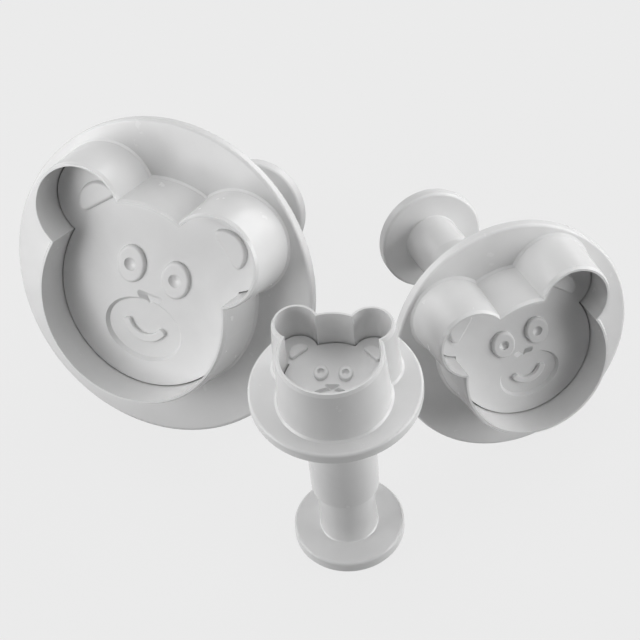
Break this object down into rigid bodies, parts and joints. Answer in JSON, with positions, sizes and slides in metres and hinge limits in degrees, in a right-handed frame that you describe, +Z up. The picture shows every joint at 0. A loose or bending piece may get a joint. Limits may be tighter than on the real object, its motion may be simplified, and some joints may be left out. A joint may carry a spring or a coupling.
{
  "type": "plunger cutter",
  "caption": "Spring plunger cutters in graded sizes: bear-head blade on a round flange, stamp plate inside, and a thumb knob on a sprung stem that presses and ejects the paste.",
  "frame": {"origin": "middle of the set's footprint, on the surface it stands on", "axes": "+Z up, along the standing cutter's axis; -Y towards the viewer of the faces; +X to the right"},
  "size_m": [0.1454, 0.1234, 0.0716],
  "materials": {
    "housing_plastic": "moulded, glossy, neutral white",
    "stamp_plastic": "moulded, glossy, neutral white",
    "knob_plastic": "moulded, glossy, neutral white",
    "spring_steel": "drawn stainless wire"
  },
  "bodies": {
    "small_cutter": {"small_housing": "housing_plastic", "small_spring": "spring_steel"},
    "small_plunger": {"small_stamp": "stamp_plastic", "small_knob": "knob_plastic"},
    "medium_cutter": {"medium_housing": "housing_plastic", "medium_spring": "spring_steel"},
    "medium_plunger": {"medium_stamp": "stamp_plastic", "medium_knob": "knob_plastic"},
    "large_cutter": {"large_housing": "housing_plastic", "large_spring": "spring_steel"},
    "large_plunger": {"large_stamp": "stamp_plastic", "large_knob": "knob_plastic"}
  },
  "joints": [
    {"name": "small_press", "type": "slide", "parent": "small_cutter", "child": "small_plunger", "axis": [0, 0, 1], "range_m": [0, 0.0105], "stiffness_N_per_m": 250, "springref_m": -0.012, "deforming": ["small_spring"]},
    {"name": "medium_press", "type": "slide", "parent": "medium_cutter", "child": "medium_plunger", "axis": [0.2894, -0.9069, 0.3062], "range_m": [0, 0.0093], "stiffness_N_per_m": 250, "springref_m": -0.012, "deforming": ["medium_spring"]},
    {"name": "large_press", "type": "slide", "parent": "large_cutter", "child": "large_plunger", "axis": [-0.4508, -0.7653, 0.4596], "range_m": [0, 0.0107], "stiffness_N_per_m": 250, "springref_m": -0.012, "deforming": ["large_spring"]},
    {"name": "medium_lift", "type": "slide", "parent": "small_cutter", "child": "medium_cutter", "axis": [0, 0, 1], "range_m": [0, 0.08]},
    {"name": "large_lift", "type": "slide", "parent": "small_cutter", "child": "large_cutter", "axis": [0, 0, 1], "range_m": [0, 0.08]}
  ]
}
